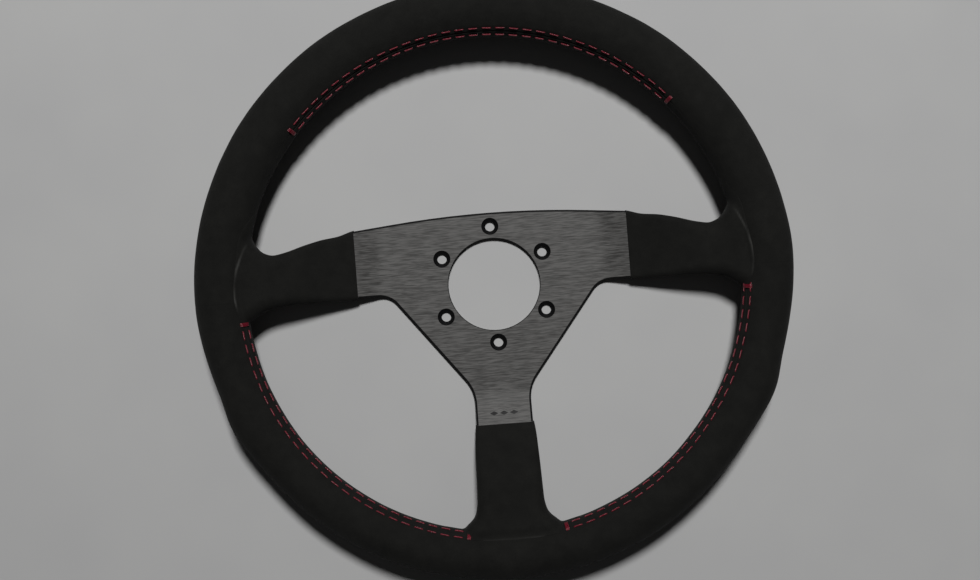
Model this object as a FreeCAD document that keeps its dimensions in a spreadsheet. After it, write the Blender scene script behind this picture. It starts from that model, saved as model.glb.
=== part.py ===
import FreeCAD, Part
import math
import os
import Sketcher
from FreeCAD import Matrix, Placement, Rotation, Vector

# A three-spoke sport steering wheel with a suede-covered rim, in millimetres.
# The origin is the centre of the hub on its back face. +Z points to the driver, +Y to 12 o'clock and
# +X to 3 o'clock. The hub's back face is z = 0.

SIZES = [
    # alias, value, what it is
    ("plate_thickness", 4.0, "spoke plate"),
    ("plate_bevel", 1.2, "bevel round the front of the spoke plate"),
    ("hub_hole_radius", 27.7, "centre hole"),
    ("hub_bevel", 0.3, "bevel of the centre hole"),
    ("screw_circle_radius", 35.0, "six screws on a 70 mm circle"),
    ("screw_count", 6, "screw holes"),
    ("screw_hole_radius", 2.9, "clearance hole for an M5 screw"),
    ("countersink", 2.25, "countersink, measured along its radius and its depth"),
    ("side_bend", 60.0, "where a side spoke starts to rise"),
    ("bottom_bend", 62.0, "where the bottom spoke starts to rise"),
    ("bend_angle", 22.0, "slope of the rising part, in degrees"),
    ("bend_radius", 30.0, "bends of the plate, at mid thickness"),
    ("spoke_rise", 19.0, "how far a spoke's end stands above the hub"),
    ("spoke_reach", 150.0, "end of a spoke's metal"),
    ("plate_top", 43.3, "top of the hub"),
    ("top_arc_radius", 600.0, "upper edge of the hub and side spokes"),
    ("suede_start_side", 81.5, "edge of the suede on a side spoke"),
    ("suede_start_bottom", 83.4, "edge of the suede on the bottom spoke"),
    ("bottom_half_width", 16.9, "half width of the bottom spoke"),
    ("mark_depth", 0.2, "depth of the lozenges on the bottom spoke"),
    ("rim_height", 25.0, "middle of the rim above the hub's back face"),
    ("rim_outer_radius", 175.0, "outside of the upper rim"),
    ("rim_inner_radius", 144.5, "inside of the rim"),
    ("rim_depth", 28.0, "rim, front to back"),
    ("waist_drop", 2.65, "how much smaller the lower rim is at the outside"),
    ("thumb_bump", 2.3, "height of the bump under each hand"),
    ("suede_thickness", 1.2, "suede on the rim and spokes"),
    ("ring_radius", 159.0, "centre line of the hoop"),
    ("ring_tube_radius", 6.0, "outside of the hoop's tube"),
    ("ring_tube_wall", 1.5, "wall of the hoop's tube"),
    ("lug_start", 123.0, "inner end of a lug"),
    ("lug_width", 18.0, "width of a lug"),
    ("lug_thickness", 4.0, "thickness of a lug"),
    ("side_lug_offset", 11.0, "how far a side lug stands above the hub's centre line"),
    ("rivet_radius", 2.5, "rivet shank"),
    ("rivet_head_radius", 4.5, "rivet head"),
    ("rivet_head_height", 2.2, "rivet head"),
    ("rivet_dome", 1.6, "rounding of a rivet head"),
    ("rivet_inner", 130.0, "first rivet, from the hub's centre"),
    ("rivet_pitch", 12.0, "distance between the two rivets"),
    ("foam_start", 95.0, "where the foam of a spoke root begins"),
    ("spoke_seam_end", 132.0, "outer end of the stitching behind a spoke"),
    ("thread_radius", 0.5, "stitching thread"),
    ("stitch_length", 5.7, "length of a stitch"),
    ("stitch_pitch", 7.7, "distance from one stitch to the next"),
    ("stitch_rows", 5.2, "distance between the two rows of a seam"),
    ("seam_angle", 60.0, "place of the rim's seam, in degrees from the front of its section towards the hub"),
]

EDGE_TUCK = 0.4  # how far the plate's full width runs on under the edge of the suede
STEP_LENGTH = 1.1  # length of the step down to the narrower metal under the suede
STITCH_GAP = 0.25  # how far a straight stitch stays clear of the curved suede below it
ABOVE_ALL = 60.0  # height of a sketch plane in front of the whole wheel
THROUGH_ALL = 120.0  # a cut from there past the back of the wheel
FAR_OUT = 200.0  # half side of a square round the whole wheel

doc = FreeCAD.newDocument("SteeringWheel")
sheet = doc.addObject("Spreadsheet::Sheet", "Sizes")
for row, (alias, value, note) in enumerate(SIZES, start=1):
    sheet.set(f"A{row}", note)
    sheet.set(f"B{row}", str(value))
    sheet.setAlias(f"B{row}", alias)
doc.recompute()


def size(alias):
    return float(sheet.get(alias))


# ---------------------------------------------------------------- helpers for bodies and sketches


def add_feature(label, shape):
    made = doc.addObject("Part::Feature", label)
    made.Label = label
    made.Shape = shape
    return made


def new_body(label):
    made = doc.addObject("PartDesign::Body", label)
    made.Label = label
    made.AllowCompound = True
    return made


def origin_part(body, role):
    return next(feature for feature in body.Origin.OriginFeatures if feature.Role == role)


def at_height(z):
    return Placement(Vector(0, 0, z), Rotation())


def new_sketch(body, name, role, offset=None):
    made = body.newObject("Sketcher::SketchObject", name)
    made.AttachmentSupport = [(origin_part(body, role), "")]
    made.MapMode = "FlatFace"
    if offset is not None:
        made.AttachmentOffset = offset
    return made


def add_chain(sketch, edges):
    """Adds lines and arcs that follow each other round a closed outline."""
    first = sketch.GeometryCount
    sketch.addGeometry(edges, False)
    for index in range(len(edges)):
        sketch.addConstraint(Sketcher.Constraint("Block", first + index))


def bind_radius(sketch, index, radius, expression):
    """Binds the radius of a circle in a sketch to an expression over the sheet."""
    constraint = sketch.addConstraint(Sketcher.Constraint("Radius", index, radius))
    sketch.setExpression(f"Constraints[{constraint}]", expression)


def closed_lines(corners):
    """Straight lines from each corner to the next and back to the first."""
    return [Part.LineSegment(a, b) for a, b in zip(corners, corners[1:] + corners[:1])]


def add_circle(sketch, x, y, radius_alias):
    """Adds a circle whose radius is bound to the sheet."""
    index = sketch.addGeometry(
        Part.Circle(Vector(x, y, 0), Vector(0, 0, 1), size(radius_alias)), False
    )
    bind_radius(sketch, index, size(radius_alias), f"Sizes.{radius_alias}")


def pad(body, name, sketch, length, symmetric=False, reverse=False):
    """Pads a sketch. The length is a sheet expression or a number."""
    made = body.newObject("PartDesign::Pad", name)
    made.Profile = sketch
    made.Midplane = symmetric
    made.Reversed = reverse
    if isinstance(length, str):
        made.setExpression("Length", length)
    else:
        made.Length = length
    doc.recompute()
    return made


def pocket(body, name, sketch, length):
    """Cuts a sketch into the body, against the sketch's normal."""
    before = body.Shape.Volume
    made = body.newObject("PartDesign::Pocket", name)
    made.Profile = sketch
    if isinstance(length, str):
        made.setExpression("Length", length)
    else:
        made.Length = length
    doc.recompute()
    if body.Shape.Volume > before - 1e-3:
        raise RuntimeError(f"{name} cuts nothing")
    return made


# ---------------------------------------------------------------- the spoke plate


def corner_arc(before, corner, after, radius):
    """Start, middle and end of the arc that rounds a corner."""
    to_before = (before - corner).normalize()
    to_after = (after - corner).normalize()
    half = to_before.getAngle(to_after) / 2
    middle_way = (to_before + to_after).normalize()
    centre = corner + middle_way * (radius / math.sin(half))
    reach = radius / math.tan(half)
    return corner + to_before * reach, centre - middle_way * radius, corner + to_after * reach


def rounded_run(points):
    """Lines through (x, y, corner radius) points, each corner rounded."""
    places = [Vector(x, y, 0) for x, y, _ in points]
    edges = []
    last = places[0]
    for index in range(1, len(points) - 1):
        radius = points[index][2]
        start, middle, end = corner_arc(places[index - 1], places[index], places[index + 1], radius)
        edges.append(Part.LineSegment(last, start))
        edges.append(Part.Arc(start, middle, end))
        last = end
    edges.append(Part.LineSegment(last, places[-1]))
    return edges


def plate_outline():
    """The plate seen from the front: the top arc, then the right side down to the bottom spoke and back."""
    top = size("plate_top")
    arc_radius = size("top_arc_radius")
    shoulder = size("suede_start_side") + EDGE_TUCK
    shoulder_y = top - arc_radius + math.sqrt(arc_radius**2 - shoulder**2)
    foot = size("suede_start_bottom") + EDGE_TUCK
    half = size("bottom_half_width")
    reach = size("spoke_reach")
    covered = shoulder + STEP_LENGTH
    right = [
        (shoulder, shoulder_y, 0),
        (covered, 35.2, 0.5),
        (118.0, 24.3, 30.0),
        (reach, 20.8, 3.0),
        (reach, 1.2, 3.0),
        (covered, -1.2, 0.5),
        (shoulder, -2.4, 0.5),
        (63.5, -2.4, 13.0),
        (half, -62.9, 24.0),
        (half, -foot, 0.5),
        (half - 1.1, -foot - STEP_LENGTH, 0.5),
        (half - 2.9, -reach, 3.0),
        (0.0, -reach, 0),
    ]
    left = [(-x, y, radius) for x, y, radius in reversed(right)]
    top_arc = Part.Arc(
        Vector(-shoulder, shoulder_y, 0), Vector(0, top, 0), Vector(shoulder, shoulder_y, 0)
    )
    return [top_arc] + rounded_run(right) + rounded_run(left)


def bend_points(start):
    """The bend angle, and the centres of the strip's two bends as (outward, up)."""
    angle = math.radians(size("bend_angle"))
    radius = size("bend_radius")
    slope_rise = size("spoke_rise") - 2 * radius * (1 - math.cos(angle))
    level = start + 2 * radius * math.sin(angle) + slope_rise / math.tan(angle)
    middle = size("plate_thickness") / 2
    lower_centre = Vector(start, middle + radius, 0)
    upper_centre = Vector(level, middle + size("spoke_rise") - radius, 0)
    return angle, lower_centre, upper_centre


def strip_side(start, offset):
    """One face of the strip, offset from its middle: a flat, a bend, a slope, a bend and a level end."""
    angle, lower, upper = bend_points(start)
    radius = size("bend_radius")
    first, second = radius - offset, radius + offset

    def on_lower(turn):
        return lower + Vector(math.sin(turn), -math.cos(turn), 0) * first

    def on_upper(turn):
        return upper + Vector(-math.sin(turn), math.cos(turn), 0) * second

    end = Vector(size("spoke_reach") + 1.0, on_upper(0).y, 0)
    return [
        Part.Arc(on_lower(0), on_lower(angle / 2), on_lower(angle)),
        Part.LineSegment(on_lower(angle), on_upper(angle)),
        Part.Arc(on_upper(angle), on_upper(angle / 2), on_upper(0)),
        Part.LineSegment(on_upper(0), end),
    ]


def mirrored(edges):
    """The same edges on the other side of the vertical axis."""
    flip = Matrix()
    flip.A11 = -1
    made = []
    for edge in edges:
        copy = edge.toShape().transformGeometry(flip)
        a, b = (vertex.Point for vertex in copy.Vertexes)
        if isinstance(edge, Part.LineSegment):
            made.append(Part.LineSegment(a, b))
        else:
            middle = edge.value((edge.FirstParameter + edge.LastParameter) / 2)
            made.append(Part.Arc(a, Vector(-middle.x, middle.y, 0), b))
    return made


def side_strip_section():
    """Section of the sheet through both side spokes."""
    half = size("plate_thickness") / 2
    front = strip_side(size("side_bend"), half)
    back = strip_side(size("side_bend"), -half)
    tip = Part.LineSegment(front[-1].EndPoint, back[-1].EndPoint)
    right = front + back + [tip]
    bend = size("side_bend")
    hub = [
        Part.LineSegment(Vector(-bend, 2 * half, 0), Vector(bend, 2 * half, 0)),
        Part.LineSegment(Vector(-bend, 0, 0), Vector(bend, 0, 0)),
    ]
    return right + mirrored(right) + hub


def bottom_strip_section():
    """Section of the sheet through the bottom spoke, closed inside the flat hub."""
    half = size("plate_thickness") / 2
    start = size("bottom_bend")
    front = strip_side(start, half)
    back = strip_side(start, -half)
    inside = start - 20.0
    return front + back + [
        Part.LineSegment(front[-1].EndPoint, back[-1].EndPoint),
        Part.LineSegment(Vector(inside, 2 * half, 0), Vector(start, 2 * half, 0)),
        Part.LineSegment(Vector(inside, 0, 0), Vector(start, 0, 0)),
        Part.LineSegment(Vector(inside, 0, 0), Vector(inside, 2 * half, 0)),
    ]


def edge_middle(edge):
    return edge.valueAt((edge.FirstParameter + edge.LastParameter) / 2)


def is_front_edge(shape, edge):
    """True for an edge between a face that looks forward and a wall."""
    point = edge_middle(edge)
    normals = []
    for face in shape.ancestorsOfType(edge, Part.Face):
        u, v = face.Surface.parameter(point)
        normals.append(face.normalAt(u, v))
    return any(n.z > 0.3 for n in normals) and any(abs(n.z) < 0.01 for n in normals)


def is_circle(edge, radius):
    return isinstance(edge.Curve, Part.Circle) and abs(edge.Curve.Radius - radius) < 1e-6


def is_screw_edge(edge):
    return is_circle(edge, size("screw_hole_radius"))


def bevel(body, name, choose, expression):
    """Bevels the edges of the body for which choose(shape, edge) is true."""
    base = body.Tip
    shape = base.Shape
    names = [f"Edge{n}" for n, edge in enumerate(shape.Edges, start=1) if choose(shape, edge)]
    made = body.newObject("PartDesign::Chamfer", name)
    made.Base = (base, names)
    made.setExpression("Size", expression)
    doc.recompute()
    if body.Shape.Volume > base.Shape.Volume - 1:
        raise RuntimeError(f"{name} cuts nothing")
    return made


def is_screw_mouth(shape, edge):
    return is_screw_edge(edge) and is_front_edge(shape, edge)


def is_plate_rim(shape, edge):
    if isinstance(edge.Curve, Part.Circle) and edge.Curve.Center.Length < 1e-6:
        return False
    point = edge_middle(edge)
    on_sides = abs(point.x) < size("suede_start_side") + EDGE_TUCK
    on_bottom = -point.y < size("suede_start_bottom") + EDGE_TUCK
    return on_sides and on_bottom and is_front_edge(shape, edge) and not is_screw_edge(edge)


def is_hub_mouth(shape, edge):
    return is_circle(edge, size("hub_hole_radius")) and is_front_edge(shape, edge)


def outline_bevels(shape):
    """Three wedges that bevel the front of the bent plate's outline: top, lower right and lower left."""
    middle_height = size("plate_top") / 2
    top, right, left = [], [], []
    for edge in shape.Edges:
        if not is_plate_rim(shape, edge):
            continue
        point = edge_middle(edge)
        if point.y > middle_height:
            top.append(edge)
        elif point.x > 0:
            right.append(edge)
        else:
            left.append(edge)
    return [wedge_along(chain, shape) for chain in (top, right, left)]


def wedge_along(edges, shape):
    """A triangular bar along a chain of edges, its long face at 45 degrees."""
    path = Part.Wire(Part.sortEdges(edges)[0])
    first = path.OrderedEdges[0]
    forward = first.Orientation == "Forward"
    at = first.FirstParameter if forward else first.LastParameter
    point = first.valueAt(at)
    along = first.tangentAt(at)
    up = Vector(0, 0, 1)
    outward = along.cross(up).normalize()
    if shape.isInside(point + outward * 0.2 - up * 0.5, 1e-4, True):
        outward = -outward
    depth = size("plate_bevel")
    spare = 0.3 * depth
    corners = [
        point + outward * spare + up * spare,
        point - outward * (depth + spare) + up * spare,
        point + outward * spare - up * (depth + spare),
    ]
    profile = Part.makePolygon(corners + [corners[0]])
    sweep = Part.BRepOffsetAPI.MakePipeShell(path)
    sweep.setBiNormalMode(up)
    sweep.add(profile, False, False)
    sweep.build()
    sweep.makeSolid()
    return sweep.shape()


def cut_mark(body):
    """Three shallow lozenges across the rising part of the bottom spoke."""
    angle, lower, _ = bend_points(size("bottom_bend"))
    run = 4.0  # from the first bend to the middle of the lozenges, up the slope
    front = size("bend_radius") - size("plate_thickness") / 2
    start = lower + Vector(math.sin(angle), -math.cos(angle), 0) * front
    place = Vector(0, -(start.x + run * math.cos(angle)), start.y + run * math.sin(angle))
    tilt = Rotation(Vector(1, 0, 0), -size("bend_angle"))
    sketch = new_sketch(body, "lozenges", "XY_Plane", Placement(place, tilt))
    half_width, half_height, pitch = 2.6, 1.3, 6.0
    for index in (-1, 0, 1):
        x = index * pitch
        corners = [
            Vector(x - half_width, 0, 0),
            Vector(x, half_height, 0),
            Vector(x + half_width, 0, 0),
            Vector(x, -half_height, 0),
        ]
        add_chain(sketch, closed_lines(corners))
    pocket(body, "mark", sketch, "Sizes.mark_depth")


def build_spoke_plate():
    body = new_body("plate_blank")
    side_sheet_width, bottom_sheet_width = 120.0, 60.0
    side = new_sketch(body, "side_section", "XZ_Plane")
    add_chain(side, side_strip_section())
    pad(body, "side_sheet", side, side_sheet_width, symmetric=True)
    turn = Placement(Vector(0, 0, 0), Rotation(Vector(0, 1, 0), 180))
    bottom = new_sketch(body, "bottom_section", "YZ_Plane", turn)
    add_chain(bottom, bottom_strip_section())
    pad(body, "bottom_sheet", bottom, bottom_sheet_width, symmetric=True)
    outline = new_sketch(body, "outline", "XY_Plane", at_height(ABOVE_ALL))
    add_chain(outline, plate_outline())
    corners = [(-FAR_OUT, -FAR_OUT), (FAR_OUT, -FAR_OUT), (FAR_OUT, FAR_OUT), (-FAR_OUT, FAR_OUT)]
    add_chain(outline, closed_lines([Vector(x, y, 0) for x, y in corners]))
    pocket(body, "trim", outline, THROUGH_ALL)
    hub = new_sketch(body, "hub_hole", "XY_Plane", at_height(ABOVE_ALL))
    add_circle(hub, 0, 0, "hub_hole_radius")
    pocket(body, "hub_cut", hub, THROUGH_ALL)
    screw = new_sketch(body, "screw_hole", "XY_Plane", at_height(ABOVE_ALL))
    for index in range(int(size("screw_count"))):
        turn = math.radians(90 + index * 360 / size("screw_count"))
        reach = size("screw_circle_radius")
        add_circle(screw, reach * math.cos(turn), reach * math.sin(turn), "screw_hole_radius")
    pocket(body, "screw_cut", screw, THROUGH_ALL)
    cut_mark(body)
    bevel(body, "countersinks", is_screw_mouth, "Sizes.countersink")
    bevel(body, "hub_bevel", is_hub_mouth, "Sizes.hub_bevel")
    return add_feature("spoke_plate", body.Shape.cut(outline_bevels(body.Shape)))


# ---------------------------------------------------------------- hoop, lugs and rivets


def build_ring():
    body = new_body("rim_ring")
    section = new_sketch(body, "tube_section", "XZ_Plane")
    add_circle(section, size("ring_radius"), size("rim_height"), "ring_tube_radius")
    centre = Vector(size("ring_radius"), size("rim_height"), 0)
    bore_radius = size("ring_tube_radius") - size("ring_tube_wall")
    bore = section.addGeometry(Part.Circle(centre, Vector(0, 0, 1), bore_radius), False)
    bind_radius(section, bore, bore_radius, "Sizes.ring_tube_radius - Sizes.ring_tube_wall")
    hoop = body.newObject("PartDesign::Revolution", "hoop")
    hoop.Profile = section
    hoop.ReferenceAxis = (origin_part(body, "Z_Axis"), [""])
    hoop.Angle = 360
    doc.recompute()
    return body


def lug_base_height():
    """The lug lies on the front of the spoke's level end."""
    return size("spoke_rise") + size("plate_thickness")


def rivet_places(offset):
    first = size("rivet_inner")
    return [(first, offset), (first + size("rivet_pitch"), offset)]


def build_lug(label, turn, offset):
    """A tab along +X, offset sideways, that meets the hoop's tube; turn places it on its spoke."""
    body = new_body(label)
    outline = new_sketch(body, "tab", "XY_Plane", at_height(lug_base_height()))
    half = size("lug_width") / 2
    start, end = size("lug_start"), size("ring_radius")
    points = [
        (start + half, offset - half, 0),
        (end, offset - half, 0.5),
        (end, offset + half, 0.5),
        (start, offset + half, 3.0),
        (start, offset - half, 3.0),
        (start + half, offset - half, 0),
    ]
    add_chain(outline, rounded_run(points))
    for x, y in rivet_places(offset):
        add_circle(outline, x, y, "rivet_radius")
    pad(body, "tab_sheet", outline, "Sizes.lug_thickness")
    saddle = new_sketch(body, "saddle", "XZ_Plane")
    add_circle(saddle, size("ring_radius"), size("rim_height"), "ring_tube_radius")
    before = body.Shape.Volume
    cut = body.newObject("PartDesign::Groove", "saddle_cut")
    cut.Profile = saddle
    cut.ReferenceAxis = (origin_part(body, "Z_Axis"), [""])
    cut.Angle = 360
    doc.recompute()
    if body.Shape.Volume > before - 1:
        raise RuntimeError("the saddle cuts nothing")
    if len(body.Shape.Solids) != 1:
        trim_far_side(body)
    body.Placement = Placement(Vector(0, 0, 0), Rotation(Vector(0, 0, 1), turn))
    doc.recompute()
    return body


def trim_far_side(body):
    """Removes what the saddle leaves beyond the hoop's centre line."""
    outline = new_sketch(body, "far_side", "XY_Plane", at_height(ABOVE_ALL))
    inner = size("ring_radius") - size("ring_tube_radius") / 2
    far = size("ring_radius") + size("ring_tube_radius")
    side = 2 * size("lug_width")
    corners = [Vector(inner, -side, 0), Vector(far, -side, 0), Vector(far, side, 0), Vector(inner, side, 0)]
    add_chain(outline, closed_lines(corners))
    pocket(body, "far_side_cut", outline, THROUGH_ALL)


def build_rivets(label, turn, offset):
    """Two rivets through the spoke's end and its lug, each with a head at both ends."""
    body = new_body(label)
    plate_back = size("spoke_rise")
    grip = size("plate_thickness") + size("lug_thickness")
    head = size("rivet_head_height")
    for name, base, radius, height in (
        ("shank", plate_back, "rivet_radius", grip),
        ("front_head", plate_back + grip, "rivet_head_radius", head),
        ("back_head", plate_back - head, "rivet_head_radius", head),
    ):
        sketch = new_sketch(body, name, "XY_Plane", at_height(base))
        for x, y in rivet_places(offset):
            add_circle(sketch, x, y, radius)
        pad(body, name + "_pad", sketch, height)
    blank = body.Tip
    rims = []
    for index, edge in enumerate(body.Shape.Edges, start=1):
        z = edge.CenterOfMass.z
        if is_circle(edge, size("rivet_head_radius")) and not plate_back - 1 < z < plate_back + grip + 1:
            rims.append(f"Edge{index}")
    dome = body.newObject("PartDesign::Fillet", "domes")
    dome.Base = (blank, rims)
    dome.setExpression("Radius", "Sizes.rivet_dome")
    doc.recompute()
    body.Placement = Placement(Vector(0, 0, 0), Rotation(Vector(0, 0, 1), turn))
    doc.recompute()
    return body


# ---------------------------------------------------------------- grip: foam, suede and thread


def smooth_step(low, high, value):
    share = min(1.0, max(0.0, (value - low) / (high - low)))
    return share * share * (3 - 2 * share)


def outer_radius(turn):
    """Outside of the rim at an angle from 3 o'clock: slimmer below, with a bump under each hand."""
    below = -math.degrees(math.asin(math.sin(math.radians(turn))))
    drop = size("waist_drop") * smooth_step(-6, 20, below)
    spread = 5.0 if below < 25 else 7.0
    bump = size("thumb_bump") * math.exp(-(((below - 25) / spread) ** 2))
    return size("rim_outer_radius") - drop + bump


def rim_section(turn, inset=0.0):
    """Centre radius, half width and half depth of the rim's oval section."""
    outer = outer_radius(turn)
    inner = size("rim_inner_radius")
    return (outer + inner) / 2, (outer - inner) / 2 - inset, size("rim_depth") / 2 - inset


def rim_solid(inset=0.0):
    """The rim as one closed, smooth surface through oval sections."""
    around, across = 72, 12
    swell_across = 3 / (2 + math.cos(2 * math.pi / across))
    swell_around = 3 / (2 + math.cos(2 * math.pi / around))
    poles = []
    for i in range(around):
        turn = 360 * i / around
        centre, width, depth = rim_section(turn, inset)
        way = Vector(math.cos(math.radians(turn)), math.sin(math.radians(turn)), 0)
        ring = []
        for k in range(across):
            angle = 2 * math.pi * k / across
            radius = (centre + width * swell_across * math.cos(angle)) * swell_around
            height = size("rim_height") + depth * swell_across * math.sin(angle)
            ring.append(way * radius + Vector(0, 0, height))
        poles.append(ring)
    surface = Part.BSplineSurface()
    surface.buildFromPolesMultsKnots(
        poles,
        [1] * (around + 1),
        [1] * (across + 1),
        list(range(around + 1)),
        list(range(across + 1)),
        True,
        True,
        3,
        3,
    )
    solid = Part.Solid(Part.Shell([surface.toShape()]))
    if solid.Volume < 0:
        solid.reverse()
    return solid


SIDE_ROOT = [
    # outward, low side, high side, back, front
    (81.5, -3.2, 38.4, 5.3, 11.5),
    (90.0, -3.2, 35.2, 8.4, 15.2),
    (100.0, -3.2, 33.8, 11.4, 20.2),
    (110.0, -3.2, 31.0, 13.4, 25.2),
    (119.0, -3.4, 27.9, 14.0, 29.2),
    (128.0, -4.2, 26.0, 14.0, 31.6),
    (135.0, -5.9, 28.7, 13.8, 32.8),
    (141.0, -9.4, 36.6, 14.0, 34.0),
    (152.0, -14.4, 45.6, 17.5, 32.5),
]

BOTTOM_ROOT = [
    (83.4, -17.7, 17.7, 5.3, 11.5),
    (92.0, -18.4, 18.4, 8.9, 15.8),
    (101.0, -18.9, 18.9, 11.7, 20.6),
    (110.0, -19.1, 19.1, 13.4, 25.2),
    (119.0, -19.3, 19.3, 14.0, 29.2),
    (128.0, -19.6, 19.6, 14.0, 31.6),
    (135.0, -21.2, 21.2, 13.8, 32.8),
    (141.0, -26.5, 26.5, 14.0, 34.0),
    (152.0, -35.0, 35.0, 17.5, 32.5),
]


def rounded_section(x, low, high, back, front):
    """A rounded rectangle across a spoke at a distance x from the hub's centre."""
    radius = 0.42 * (front - back)
    corners = [Vector(x, low, back), Vector(x, high, back), Vector(x, high, front), Vector(x, low, front)]
    edges = []
    arcs = [corner_arc(corners[i - 1], corners[i], corners[(i + 1) % 4], radius) for i in range(4)]
    for index in range(4):
        start, middle, end = arcs[index]
        edges.append(Part.Arc(start, middle, end).toShape())
        edges.append(Part.LineSegment(end, arcs[(index + 1) % 4][0]).toShape())
    return Part.Wire(edges)


def root_solid(stations, inset=0.0):
    """Spoke root along +X, lofted through its stations and shrunk all round by inset."""
    wires = [
        rounded_section(x, low + inset, high - inset, back + inset, front - inset)
        for x, low, high, back, front in stations
    ]
    return Part.makeLoft(wires, True, False)


def placed_root(name, inset=0.0):
    """The root of one spoke in its place."""
    if name == "bottom":
        made = root_solid(BOTTOM_ROOT, inset)
        made.rotate(Vector(0, 0, 0), Vector(0, 0, 1), -90)
        return made
    made = root_solid(SIDE_ROOT, inset)
    if name == "left":
        made = made.mirror(Vector(0, 0, 0), Vector(1, 0, 0))
    return made


def metal_space(plate_shape):
    """The room that the hoop, the lugs, the rivet heads and the spoke ends take up in the foam."""
    hoop = Part.makeTorus(
        size("ring_radius"), size("ring_tube_radius"), Vector(0, 0, size("rim_height")), Vector(0, 0, 1)
    )
    plate_back = size("spoke_rise")
    head = size("rivet_head_height")
    grip = size("plate_thickness") + size("lug_thickness")
    pieces = [plate_shape]
    for turn, offset in SPOKES.values():
        low = Vector(size("lug_start"), offset - size("lug_width") / 2, lug_base_height())
        length = size("ring_radius") - size("lug_start")
        group = [Part.makeBox(length, size("lug_width"), size("lug_thickness"), low)]
        for x, y in rivet_places(offset):
            foot = Vector(x, y, plate_back - head)
            group.append(Part.makeCylinder(size("rivet_head_radius"), grip + 2 * head, foot))
        for piece in group:
            piece.rotate(Vector(0, 0, 0), Vector(0, 0, 1), turn)
        pieces += group
    return hoop.fuse(pieces)


def hub_block():
    """What lies nearer to the hub than the foam does."""
    reach = size("foam_start")
    return Part.makeBox(2 * reach, reach + FAR_OUT, THROUGH_ALL, Vector(-reach, -reach, -ABOVE_ALL))


def sector(first, last):
    """A wedge of space round the hub from one angle to another."""
    steps = 4
    points = [Vector(0, 0, -ABOVE_ALL)]
    for index in range(steps + 1):
        turn = math.radians(first + (last - first) * index / steps)
        points.append(Vector(2 * FAR_OUT * math.cos(turn), 2 * FAR_OUT * math.sin(turn), -ABOVE_ALL))
    points.append(points[0])
    return Part.Face(Part.makePolygon(points)).extrude(Vector(0, 0, THROUGH_ALL))


def section_point(turn, angle, lift):
    """A point near the rim's surface: angle runs from the front of the section towards the hub."""
    centre, width, depth = rim_section(turn)
    a = math.radians(angle)
    normal = Vector(-math.sin(a) / width, math.cos(a) / depth, 0).normalize()
    radius = centre - width * math.sin(a) + normal.x * lift
    height = size("rim_height") + depth * math.cos(a) + normal.y * lift
    t = math.radians(turn)
    return Vector(radius * math.cos(t), radius * math.sin(t), height)


def stitch(start, end):
    """One stitch as a straight length of thread."""
    return Part.makeCylinder(size("thread_radius"), (end - start).Length, start, end - start)


def rim_seam(first, last):
    """Two rows of stitches between two angles, with a bar across each end."""
    reach = size("rim_inner_radius")
    pitch = math.degrees(size("stitch_pitch") / reach)
    length = math.degrees(size("stitch_length") / reach)
    half_rows = math.degrees(size("stitch_rows") / 2 / (size("rim_depth") / 2))
    lift = size("thread_radius") + STITCH_GAP
    rows = (size("seam_angle") - half_rows, size("seam_angle") + half_rows)
    count = int((last - first) / pitch)
    made = []
    for index in range(count):
        begin = first + (index + 0.5) * pitch
        for row_angle in rows:
            made.append(
                stitch(section_point(begin, row_angle, lift), section_point(begin + length, row_angle, lift))
            )
    for end in (first, last):
        made.append(stitch(section_point(end, rows[0], lift), section_point(end, rows[1], lift)))
    return Part.makeCompound(made)


def root_back(stations, x):
    """Middle and back of a spoke root at a distance x, between its two nearest stations."""
    for before, after in zip(stations, stations[1:]):
        if before[0] <= x <= after[0]:
            share = (x - before[0]) / (after[0] - before[0])
            low, high, back = (before[i] + (after[i] - before[i]) * share for i in (1, 2, 3))
            return (low + high) / 2, back
    raise ValueError("outside the root")


def spoke_seam(stations):
    """Two rows of stitches along the back of a spoke that lies along +X."""
    first = stations[0][0] + 5.0
    last = size("spoke_seam_end")
    lift = size("thread_radius") + STITCH_GAP
    made = []
    count = int((last - first) / size("stitch_pitch"))
    for index in range(count):
        near = first + index * size("stitch_pitch")
        far = near + size("stitch_length")
        for side in (-0.5, 0.5):
            ends = []
            for x in (near, far):
                middle, back = root_back(stations, x)
                ends.append(Vector(x, middle + side * size("stitch_rows"), back - lift))
            made.append(stitch(ends[0], ends[1]))
    return Part.makeCompound(made)


# ---------------------------------------------------------------- the wheel

SPOKES = {
    # name: turn of its lug and rivets, their sideways offset
    "right": (0.0, size("side_lug_offset")),
    "left": (180.0, -size("side_lug_offset")),
    "bottom": (-90.0, 0.0),
}

parts = {"spoke_plate": build_spoke_plate()}
parts["rim_ring"] = build_ring()
for spoke, (turn, offset) in SPOKES.items():
    parts[f"lug_{spoke}"] = build_lug(f"lug_{spoke}", turn, offset)
    parts[f"rivets_{spoke}"] = build_rivets(f"rivets_{spoke}", turn, offset)

roots = {spoke: placed_root(spoke) for spoke in SPOKES}
near_hub = hub_block()
root_cores = {spoke: placed_root(spoke, size("suede_thickness")).cut(near_hub) for spoke in SPOKES}
rim_outside = rim_solid()
rim_core = rim_solid(size("suede_thickness"))

metal = metal_space(parts["spoke_plate"].Shape)
parts["rim_foam"] = add_feature("rim_foam", rim_core.cut(metal))
for spoke in SPOKES:
    parts[f"spoke_pad_{spoke}"] = add_feature(f"spoke_pad_{spoke}", root_cores[spoke].cut([rim_core, metal]))

rim_skin = rim_outside.cut(rim_core).cut(list(roots.values()))
PANELS = {"upper": (0.0, 180.0), "lower_left": (180.0, 270.0), "lower_right": (270.0, 360.0)}
for panel, (first, last) in PANELS.items():
    parts[f"rim_suede_{panel}"] = add_feature(f"rim_suede_{panel}", rim_skin.common(sector(first, last)))

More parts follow.
